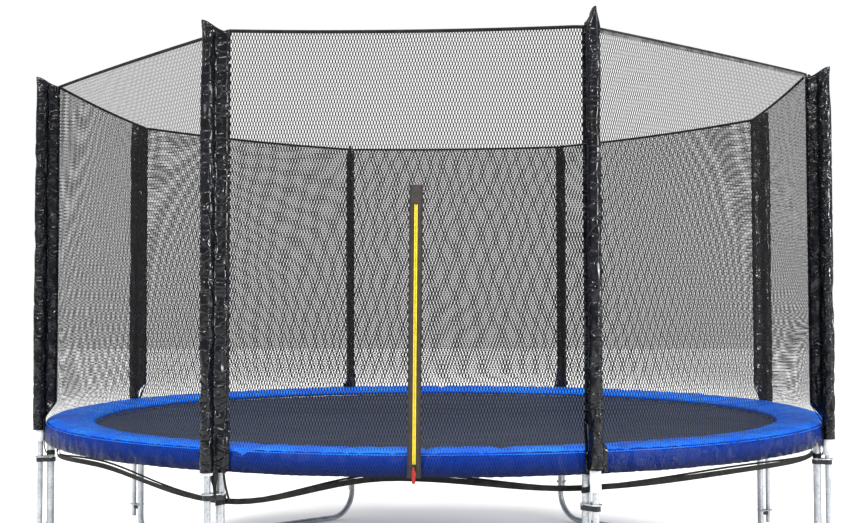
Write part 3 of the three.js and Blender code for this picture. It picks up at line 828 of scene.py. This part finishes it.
def cover(leg):
    """A vinyl cover, a little crushed and creased, whose top is a slanted seam."""
    rows = round((leg.cover_top - leg.cover_bottom) / SLEEVE_ROW)
    heights = np.linspace(leg.cover_bottom, leg.cover_top, rows + 1)
    seed = Vector((leg.pole.x * 3, leg.pole.y * 3, 0))
    points = []
    for z in map(float, heights):
        outline = cover_outline(leg, z)
        slope = smooth(leg.cover_top - 0.30, leg.cover_top, z)
        hem = 0.004 * math.sin(3 * leg.angle + 40 * z) if z < leg.cover_bottom + 0.02 else 0
        for flat in outline:
            along = flat.x * math.cos(leg.turn) + flat.y * math.sin(leg.turn)
            slant = SEAM_DROP * slope * smooth(-SLEEVE_OUT, FLAP_LENGTH, along)
            point = leg.at(flat.x, flat.y, z - slant + hem)
            away = point - leg.at(-0.005, 0, point.z)
            buckle = noise.noise(Vector((point.x * 12, point.y * 12, point.z * 4)) + seed)
            pucker = noise.noise(Vector((point.x * 30, point.y * 30, point.z * 14)) + seed)
            points.append(point + away.normalized() * (0.0016 * buckle + 0.0007 * pucker - 0.001))
    columns = len(outline)
    faces, corners = grid(rows + 1, columns, round_columns=True)
    top = rows * columns
    faces.append([top + i for i in range(columns)])
    corners.extend([(rows, i) for i in range(columns)])
    uvs = [(c * 0.009, r * SLEEVE_ROW) for r, c in corners]
    return made("vinyl_cover_" + leg.name, points, faces, VINYL, "black_vinyl", None, uvs, sharp=180)


# Net

def net_end(leg, way, z):
    """Where a bay's net meets a leg's flap: way is 1 at the bay's first leg and -1 at its second."""
    lean = math.radians(BAY_DEGREES / 2)
    away = Vector((math.sin(lean), way * math.cos(lean))) * NET_CLEARANCE
    high = leg.flap_edge(NET_TOP) + away
    low = Vector((FOLD_IN, leg.fold + NET_CLEARANCE)) if way > 0 else Vector((FOLD_IN, -0.030))
    place = low.lerp(high, fold_share(z))
    return leg.at(place.x, place.y, z)


def net_point(bay, u, z):
    """The net's surface, with u from 0 to 1 between two legs. It bulges outward lower down."""
    first, second = bay_legs(bay)
    start, end = net_end(first, 1, z), net_end(second, -1, z)
    outward = polar(1, math.radians(BAY_DEGREES * (bay + 1)), 0)
    chord = start.lerp(end, 0.5).dot(outward)
    bulge = NET_MIDDLE_TOP + (NET_TOP - z) * NET_SLOPE - chord
    return start.lerp(end, u) + outward * (bulge * 4 * u * (1 - u))


def share_at_x(bay, x, z):
    """How far along the door's bay the net reaches a given x."""
    low, high = 0.0, 1.0
    for _ in range(24):
        middle = (low + high) / 2
        if net_point(bay, middle, z).x < x:
            low = middle
        else:
            high = middle
    return low


def net_heights():
    low = list(np.linspace(NET_BOTTOM, FLAP_FOLD_TOP, 9))
    middle = list(np.linspace(FLAP_FOLD_TOP, BAND_TOP, 16))[1:]
    return [float(z) for z in low + middle + list(np.linspace(BAND_TOP, NET_TOP, 11))[1:]]


def net_width(bay):
    """A panel's flat width: the distance between its flaps half way up, and 2% for its bulge."""
    middle_z = 2.0
    return (net_point(bay, 1, middle_z) - net_point(bay, 0, middle_z)).length * 1.02


def net_panel(bay):
    heights = net_heights()
    width = net_width(bay)
    half = BAND_WIDTH / 2 - 0.001
    side_columns = 15
    points = []
    shares = []
    for z in heights:
        if bay == DOOR_BAY:
            left = share_at_x(bay, ZIP_X - half, z)
            right = share_at_x(bay, ZIP_X + half, z)
            row = [*np.linspace(0, left, side_columns), *np.linspace(right, 1, side_columns)]
        else:
            row = np.linspace(0, 1, 2 * side_columns - 1)
        for u in map(float, row):
            sag = NET_SAG * 4 * u * (1 - u) * smooth(NET_TOP - 0.3, NET_TOP, z)
            points.append(net_point(bay, u, z - sag))
            shares.append(u)
    columns = len(row)

    def keep(r, c):
        """All but the door's slit, behind the zip's band."""
        return bay != DOOR_BAY or c != side_columns - 1 or heights[r] >= BAND_TOP - 1e-6

    faces, corners = grid(len(heights), columns, keep=keep)
    uvs = [(shares[r * columns + c] * width, points[r * columns + c].z) for r, c in corners]
    piece = made(f"net_{bay + 1}", points, faces, NET, "net_black", "frame", uvs, sharp=180)
    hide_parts("net_door_panel" if bay == DOOR_BAY else f"net_panel_{bay + 1}")


def net_border(bay):
    """The cord along the net's top, with its bound edge."""
    steps = 40
    outward = polar(1, math.radians(BAY_DEGREES * (bay + 1)), 0)
    top = []
    for i in range(steps + 1):
        u = i / steps
        top.append(net_point(bay, u, NET_TOP - NET_SAG * 4 * u * (1 - u)) + outward * 0.001)
    for place, leg in zip((0, len(top)), bay_legs(bay)):
        edge = leg.flap_edge(NET_TOP)
        top.insert(place, leg.at(edge.x, edge.y, NET_TOP - 0.002))
    made(f"net_cord_{bay + 1}", *tube_mesh(top, 0.0042, 8), WEBBING, "webbing")
    binding = [p - UP * 0.006 for p in top]
    material, width = (GREY_TAPE, 0.024) if bay == GREY_BAY else (WEBBING, 0.010)
    ribbon(f"net_binding_{bay + 1}", binding, width, 0.0012, lambda i: UP, material, "webbing")


def net_edge(leg, way):
    """The bound edge that sews the net to a cover's flap: way is 1 for the bay after the leg."""
    bay = legs.index(leg) if way > 0 else (legs.index(leg) - 1) % len(legs)
    heights = np.linspace(NET_BOTTOM + 0.004, NET_TOP - 0.004, 60)
    near = 0.0 if way > 0 else 1.0
    far = near + way * 0.001
    path = []
    sides = []
    for z in map(float, heights):
        outer = net_point(bay, far, z)
        if z > FLAP_FOLD_TOP:
            edge = leg.flap_edge(z)
            inner = leg.at(edge.x, edge.y, z)
            sides.append(outer - inner)
        else:
            inner = net_point(bay, near, z)
            sides.append(net_point(bay, near + way * 0.01, z) - inner)
        path.append(inner.lerp(outer, 0.45))
    ribbon(f"net_edge_{leg.name}_{'next' if way > 0 else 'last'}", path, 0.014, 0.003,
           lambda i: sides[i], VINYL, "black_vinyl")


def border_knot(leg):
    """The net's top cord tied in a small knot of three loops at each pole."""
    centre = leg.at(FLAP_LENGTH - 0.012, 0.010, NET_TOP - 0.018)
    if leg.turn:
        edge = leg.flap_edge(NET_TOP)
        centre = leg.at(edge.x, edge.y, NET_TOP - 0.020)
    loops = []
    for tilt, size in ((0.5, 0.013), (-0.6, 0.011), (1.5, 0.008)):
        across = leg.sideways * math.cos(tilt) + leg.outward * math.sin(tilt)
        loop = circle(centre, across, UP * 1.3, size, 20)
        loops.append(tube_mesh(loop, 0.0026, 8, closed=True))
    made("border_knot_" + leg.name, *joined(loops), BLACK_PLASTIC, "webbing")


# Door

LEAN = math.atan(NET_SLOPE)
FORWARD = Vector((0, -math.cos(LEAN), math.sin(LEAN)))


def door_point(z, forward, aside=0.0):
    radius = NET_MIDDLE_TOP + (NET_TOP - z) * NET_SLOPE
    return Vector((ZIP_X + aside, -radius, z)) + FORWARD * forward


def door_band():
    low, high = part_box("zip_band")
    bottom, top = low.z + 0.001, high.z - 0.001
    rows, columns = 110, 13
    points = []
    for r in range(rows + 1):
        z = bottom + (top - bottom) * r / rows
        for c in range(columns):
            aside = -BAND_WIDTH / 2 + BAND_WIDTH * c / (columns - 1)
            raised = 0.0006 if abs(aside) > BAND_WIDTH / 2 - BAND_HEM else 0.0
            ripple = 0.0007 * noise.noise(Vector((aside * 30, 0, z * 7)))
            points.append(door_point(z, raised + ripple, aside))
    faces, corners = grid(rows + 1, columns)
    length = (top - bottom) * math.hypot(1, NET_SLOPE)
    uvs = [(length * r / rows, -BAND_WIDTH / 2 + BAND_WIDTH * c / (columns - 1)) for r, c in corners]
    piece = made("door_band", points, faces, BAND, "zip_band", "frame", uvs, sharp=180)
    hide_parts("zip_band")


def door_coil():
    """The zip's two tapes and the coil between them."""
    pitch, half, deep = 0.0034, 0.0034, 0.0011
    turns = int((COIL_TOP - COIL_BOTTOM) / pitch)
    steps = 8
    path = []
    for i in range(turns * steps):
        turn = 2 * math.pi * i / steps
        z = COIL_BOTTOM + pitch * i / steps
        path.append(door_point(z, 0.0028 + deep * math.sin(turn), half * math.cos(turn)))
    parts = [tube_mesh(path, 0.0008, 5)]
    for way in (1, -1):
        edge = [door_point(z, 0.0019, way * 0.0046) for z in np.linspace(COIL_BOTTOM, COIL_TOP, 60)]
        parts.append(flat_strip(edge, Vector((1, 0, 0)), 0.0040, 0.0012))
    piece = made("door_coil", *joined(parts), ZIP_YELLOW, "zip_yellow", sharp=40)
    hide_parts("zip_coil")
    points, faces = tube_mesh([door_point(COIL_TOP + 0.004, 0.002, a) for a in (-0.007, 0.007)], 0.0022, 10)
    made("door_stop", points, faces, BLACK_PLASTIC, "black_plastic")


def door_hardware():
    paint("zip_slider", BLACK_PLASTIC)
    paint("zip_pull", PULL_RED)


# Mat and springs

def mat():
    """The woven disc, with a hem of doubled webbing stitched round its edge."""
    hem = (MAT_RADIUS - 0.06, MAT_RADIUS - 0.004)
    rings = [0.0, 0.4, 0.8, 1.2, 1.5, 1.7, 1.8, MAT_RADIUS - 0.062, *hem, MAT_RADIUS]
    sides = 192
    points = []
    for half_thickness in (0.0016, -0.0016):
        for radius in rings if half_thickness > 0 else reversed(rings):
            raised = 0.0006 if radius in hem else 0.0
            z = RAIL_Z + half_thickness + math.copysign(raised, half_thickness)
            points.extend(polar(max(radius, 0.001), turn, z) for turn in angles(sides))
    rows = 2 * len(rings)
    faces, corners = grid(rows, sides, round_rows=True, round_columns=True)
    uvs = [points[(r % rows) * sides + c % sides].xy for r, c in corners]
    piece = made("mat_cloth", points, faces, MAT, "mat_grey", "mat", uvs)
    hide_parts("jumping_mat")


def spring_axes(index):
    """The directions outward and sideways at a spring."""
    angle = (index + 0.5) * 2 * math.pi / SPRINGS
    return polar(1, angle, 0), polar(1, angle + math.pi / 2, 0)


def mat_rings():
    """A triangular wire ring and its sewn tab for each spring, merged into one piece of each."""
    rings = []
    tabs = []
    for index in range(SPRINGS):
        out, side = spring_axes(index)
        base = out * (MAT_RADIUS - 0.002) + UP * RAIL_Z
        corners = [base - side * 0.018, base + side * 0.018, base + out * 0.018]
        path = []
        for a, b in zip(corners, corners[1:] + corners[:1]):
            path.extend([a.lerp(b, s) for s in (0.12, 0.5, 0.88)])
        rings.append(tube_mesh(path, 0.0019, 6, closed=True))
        tab = [base + out * s + UP * 0.0036 for s in (-0.006, 0.0, 0.004)]
        tabs.append(flat_strip(tab, side, 0.024, 0.0012))
    made("mat_rings", *joined(rings), SPRING_WIRE, "spring_steel", "mat")
    made("mat_tabs", *joined(tabs), WEBBING, "webbing", "mat")


def spring(index):
    """A close-wound spring with a hook at each end."""
    out, side = spring_axes(index)
    start, end = MAT_RADIUS + 0.028, RAIL_RADIUS - RAIL_TUBE / 2 - 0.026
    radius, wire = 0.0078, 0.0012
    turns, steps = 34, 7
    centre = UP * RAIL_Z
    path = [centre + out * (MAT_RADIUS + 0.010), centre + out * (start - 0.006)]
    for i in range(turns * steps + 1):
        turn = 2 * math.pi * i / steps
        along = centre + out * (start + (end - start) * i / (turns * steps))
        path.append(along + side * (radius * math.cos(turn)) + UP * (radius * math.sin(turn)))
    path += [centre + out * (end + 0.006), centre + out * (RAIL_RADIUS - RAIL_TUBE / 2 - 0.002)]
    points, faces = tube_mesh(path, wire, 5)
    piece = made(f"coil_spring_{index + 1}", points, faces, SPRING_WIRE, "spring_steel", None)
    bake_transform(piece)


# Pad

def skirt_drop(angle):
    """The skirt hangs low in a fold beside the right front leg, and is caught up next to it."""
    off = math.remainder(angle - legs[SKIRT_FOLD_LEG].angle, 2 * math.pi) * PAD_OUTER
    return 0.022 * math.exp(-((off / 0.045) ** 2)) - 0.020 * math.exp(-(((off + 0.12) / 0.07) ** 2))


def gathered(angle):
    """How crumpled the cover's edge is: most where it was pulled tight, before the right front leg."""
    middle, spread = math.radians(-40), math.radians(13)
    return math.exp(-((math.remainder(angle - middle, 2 * math.pi) / spread) ** 2))


def pad():
    """The padded ring in sewn sections: it dips at each seam, and its skirt hangs in soft waves."""
    points = []
    pins = []
    for angle in angles(PAD_STEPS):
        tight = gathered(angle)
        away = [abs(math.remainder(angle - math.radians(s), 2 * math.pi)) * PAD_OUTER for s in PAD_SEAMS]
        seam = math.exp(-((min(away) / 0.016) ** 2))
        notch = math.exp(-((away[-1] / 0.045) ** 2))
        for radius, z, pin in PAD_PROFILE:
            top = smooth(PAD_TOP - 0.03, PAD_TOP - 0.012, z)
            skirt = smooth(PAD_TOP - 0.02, SKIRT_BOTTOM, z) if radius > PAD_OUTER - 0.01 else 0.0
            swell = noise.noise(polar(3.1, angle, radius * 5)) * 0.5
            swell += noise.noise(polar(9.0, angle, radius * 11)) * 0.3
            outer = smooth(PAD_OUTER - 0.12, PAD_OUTER, radius)
            lift = top * (0.0035 * swell - 0.007 * seam) - 0.017 * notch * outer * (1 - skirt)
            fold = noise.noise(polar(16, angle, z * 3)) + 0.5 * noise.noise(polar(41, angle, z * 6))
            crumple = noise.noise(polar(60, angle, z * 14)) * tight
            sway = skirt * (0.004 * fold + SKIRT_EASE + 0.003 * tight)
            sway += 0.012 * crumple * smooth(PAD_OUTER - 0.03, PAD_OUTER - 0.01, radius)
            hem = skirt * (0.003 * noise.noise(polar(7, angle, 4)) - skirt_drop(angle))
            points.append(polar(radius + sway - 0.002 * seam * skirt, angle, z + lift + hem))
            pins.append(max(pin, 0.9 * seam))
    faces, corners = grid(PAD_STEPS, len(PAD_PROFILE), round_rows=True)
    across = section_lengths(PAD_PROFILE)
    uvs = [(2 * math.pi * 2.0 * r / PAD_STEPS, across[c]) for r, c in corners]
    piece = made("pad_cover", points, faces, PAD, "pad_blue", None, uvs, sharp=180)
    return piece, pins


def pad_welt():
    """The raised welt along the pad's outer edge."""
    path = [polar(PAD_OUTER - 0.0015, angle, PAD_TOP - 0.013) for angle in angles(512)]
    made("pad_welts", *tube_mesh(path, 0.0022, 6, closed=True), PAD, "pad_blue")


# Straps that tie the net's hem to the posts

def strap_z(bay, share):
    """The strap's height in a bay: it is tied low at both legs and lifts between them."""
    first, second = bay_legs(bay)
    post = first.strap_z if share < 0.5 else second.strap_z
    return post + (STRAP_MIDDLE_Z - STRAP_DROPS[bay] - post) * (1 - math.cos(share * math.pi) ** 2)


def round_strap(name, radius, width, rise):
    """One strap past every leg, which twists a little on its way."""
    steps = 24
    path = []
    for bay, leg in enumerate(legs):
        sweep = (bay_legs(bay)[1].angle - leg.angle) % (2 * math.pi)
        for i in range(steps):
            share = i / steps
            z = strap_z(bay, share) + rise * math.sin(math.pi * share)
            path.append(polar(radius, leg.angle + sweep * share, z))

    def tilt(i):
        lean = 0.55 * noise.noise(Vector((i * 0.11, width * 100, 0)))
        return UP + Vector((path[i].x, path[i].y, 0)).normalized() * lean

    return ribbon(name, path, width, STRAP_THICKNESS, tilt, WEBBING, "webbing", closed=True)


def net_straps():
    wide = round_strap("net_strap_wide", STRAP_RADIUS, STRAP_WIDTH, 0.0)
    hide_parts("net_strap")
    round_strap("net_strap_thin", STRAP_RADIUS - 0.012, 0.009, 0.018)


def post_ties():
    """Where the strap passes a post it is looped round it."""
    reach = POST_TUBE / 2 + STRAP_THICKNESS
    for leg in legs:
        across = leg.sideways * reach + UP * 0.004
        path = circle(leg.post + UP * leg.strap_z, across, leg.outward * reach, 1, 24)
        ribbon("post_tie_" + leg.name, path, STRAP_WIDTH, STRAP_THICKNESS, lambda i: UP, WEBBING, "webbing",
               closed=True)


def net_tie(leg):
    """The gathered corner of the net's foot, pulled down to the strap on the post."""
    top = leg.at(FOLD_IN + 0.004, 0.012, NET_BOTTOM + 0.012)
    low = leg.post + leg.outward * (POST_TUBE / 2 + 0.004)
    low.z = leg.strap_z
    steps = 10
    path = [top.lerp(low, i / steps) + leg.outward * (0.006 * math.sin(math.pi * i / steps))
            for i in range(steps + 1)]
    fold = leg.outward * 0.003
    points = []
    for i, centre in enumerate(path):
        half = leg.sideways * (0.019 - 0.011 * smooth(0, 7, i) + 0.0015 * math.sin(2.2 * i))
        section = [-half, -half * 0.4 + fold, half * 0.1 - fold * 0.3, half * 0.6 + fold, half, -fold]
        points.extend(centre + offset for offset in section)
    columns = len(section)
    faces, _ = grid(len(path), columns, round_columns=True)
    faces.append(list(reversed(range(columns))))
    faces.append([len(points) - columns + i for i in range(columns)])
    made("net_tie_" + leg.name, points, faces, VINYL, "black_vinyl", sharp=180)


# Cloth

def as_cloth(piece, pins, growth, pressure, bend):
    """Makes a piece cloth that is a little too large for its shape, held where its pins are high."""
    group = piece.vertex_groups.new(name="pins")
    for i, weight in enumerate(pins):
        if weight > 0:
            group.add([i], weight, "REPLACE")
    cloth = piece.modifiers.new("cloth", "CLOTH")
    settings = dict(quality=4, mass=0.25, tension_stiffness=30, compression_stiffness=30, shear_stiffness=12,
                    bending_stiffness=bend, shrink_min=-growth, use_pressure=True,
                    uniform_pressure_force=pressure, vertex_group_mass="pins")
    for name, value in settings.items():
        setattr(cloth.settings, name, value)
    cloth.settings.effector_weights.gravity = 0
    cloth.collision_settings.use_collision = False


def coordinates(mesh):
    flat = np.empty(len(mesh.vertices) * 3)
    mesh.vertices.foreach_get("co", flat)
    return flat.reshape(-1, 3)


def clear_of_rail(points):
    """Moves the pad's skirt out wherever it would cut into the rail that it hangs over."""
    out = np.hypot(points[:, 0], points[:, 1])
    hanging = (out > PAD_OUTER - 0.012) & (points[:, 2] < RAIL_Z + RAIL_TUBE / 2 + 0.006)
    reach = RAIL_RADIUS + RAIL_TUBE / 2 + 0.002
    push = np.where(hanging, np.maximum(1, reach / np.maximum(out, 1e-9)), 1)
    points[:, :2] *= push[:, None]
    return points


def settle(cloths, frames):
    """Runs every cloth at once, and keeps each point within its piece's cap of where it began."""
    scene = bpy.context.scene
    for number in range(1, frames + 1):
        scene.frame_set(number)
    graph = bpy.context.evaluated_depsgraph_get()
    results = [coordinates(piece.evaluated_get(graph).data) for piece, _ in cloths]
    for (piece, cap), result in zip(cloths, results):
        start = coordinates(piece.data)
        move = result - start
        length = np.linalg.norm(move, axis=1, keepdims=True)
        move *= np.minimum(1, cap / np.maximum(length, 1e-9))
        points = start + move
        if piece.name == "pad_cover":
            points = clear_of_rail(points)
        piece.modifiers.clear()
        piece.vertex_groups.clear()
        piece.data.vertices.foreach_set("co", points.ravel())
        piece.data.update()
    scene.frame_set(1)


def soft_goods():
    pad_piece, pad_pins = pad()
    covers = [cover(leg) for leg in legs]
    as_cloth(pad_piece, pad_pins, 0.02, 1.2, 0.4)
    edge = COVER_AROUND + COVER_STRIP
    held_columns = (0, COVER_AROUND, edge, edge + 1, edge + 2)
    columns = edge + COVER_STRIP + 2
    for piece in covers:
        rows = len(piece.data.vertices) // columns
        held_rows = (0, 1, rows - 2, rows - 1)
        places = (divmod(i, columns) for i in range(rows * columns))
        pins = [float(row in held_rows or column in held_columns) for row, column in places]
        as_cloth(piece, pins, 0.012, 0.2, 1.5)
    settle([(pad_piece, 0.012)] + [(piece, 0.0028) for piece in covers], 14)
    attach(pad_piece, "frame")
    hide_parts("frame_pad")
    for leg, piece in zip(legs, covers):
        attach(piece, "frame")
        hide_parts("pole_sleeve_" + leg.name)


# Stage

def stage_floor():
    look = Look("floor", Emission_Color=(1, 1, 1, 1), Emission_Strength=0.15)
    color = look.mottled(0.8, 0.3, 0.7, (0.86, 0.86, 0.86, 1), (0.9, 0.9, 0.9, 1))
    material = look.finish(color, look.rough(3.0, 0.8, 0.95))
    size = 40
    corners = ((-size, -size), (size, -size), (size, size), (-size, size))
    points = [Vector((x, y, -0.0005)) for x, y in corners]
    mesh = bpy.data.meshes.new("floor")
    mesh.from_pydata(points, [], [[0, 1, 2, 3]])
    mesh.materials.append(material)
    add("floor", mesh)


def area_light(name, place, target, size, power):
    data = bpy.data.lights.new(name, "AREA")
    data.size = size
    data.energy = power
    aim = (Vector(target) - Vector(place)).to_track_quat("-Z", "Y")
    add(name, data).matrix_world = Matrix.Translation(place) @ aim.to_matrix().to_4x4()


def sun_light(name, azimuth, elevation, strength):
    data = bpy.data.lights.new(name, "SUN")
    data.energy = strength
    data.angle = math.radians(25)
    toward = polar(math.cos(elevation), azimuth, math.sin(elevation))
    add(name, data).matrix_world = toward.to_track_quat("Z", "Y").to_matrix().to_4x4()


def lights():
    """A white backdrop for the camera, over a sky that lights the scene from dark horizon to bright top."""
    world = bpy.data.worlds.new("studio")
    world.use_nodes = True
    tree = world.node_tree
    background = tree.nodes["Background"]
    background.inputs[0].default_value = (1, 1, 1, 1)
    seen = tree.nodes.new("ShaderNodeLightPath").outputs["Is Camera Ray"]
    toward = tree.nodes.new("ShaderNodeSeparateXYZ")
    tree.links.new(tree.nodes.new("ShaderNodeTexCoord").outputs["Generated"], toward.inputs[0])
    sky = tree.nodes.new("ShaderNodeMapRange")
    tree.links.new(toward.outputs[2], sky.inputs[0])
    sky.inputs[3].default_value = SKY_HORIZON
    sky.inputs[4].default_value = SKY_TOP
    strength = tree.nodes.new("ShaderNodeMapRange")
    tree.links.new(seen, strength.inputs[0])
    tree.links.new(sky.outputs[0], strength.inputs[3])
    tree.links.new(strength.outputs[0], background.inputs[1])
    bpy.context.scene.world = world
    bpy.context.scene.view_settings.view_transform = "Standard"
    sun_light("sun", math.radians(-80), math.radians(66), 2.5)
    area_light("key", (-6, -9, 8), (0, 0, 1.2), 1.6, 800)
    area_light("fill", (8, -5, 3), (0, 0, 1.2), 1.2, 420)


for index in range(len(legs)):
    rail(index)
for index in range(len(legs) // 2):
    leg_base(index)
for leg in legs:
    post_and_pole(leg)
    clamps(leg)
    foam(leg)
soft_goods()
pad_welt()
for bay in range(len(legs)):
    net_panel(bay)
    net_border(bay)
for leg in legs:
    net_edge(leg, 1)
    net_edge(leg, -1)
    net_tie(leg)
    border_knot(leg)
door_band()
door_coil()
door_hardware()
for index in range(SPRINGS):
    spring(index)
mat()
mat_rings()
net_straps()
post_ties()
stage_floor()
lights()
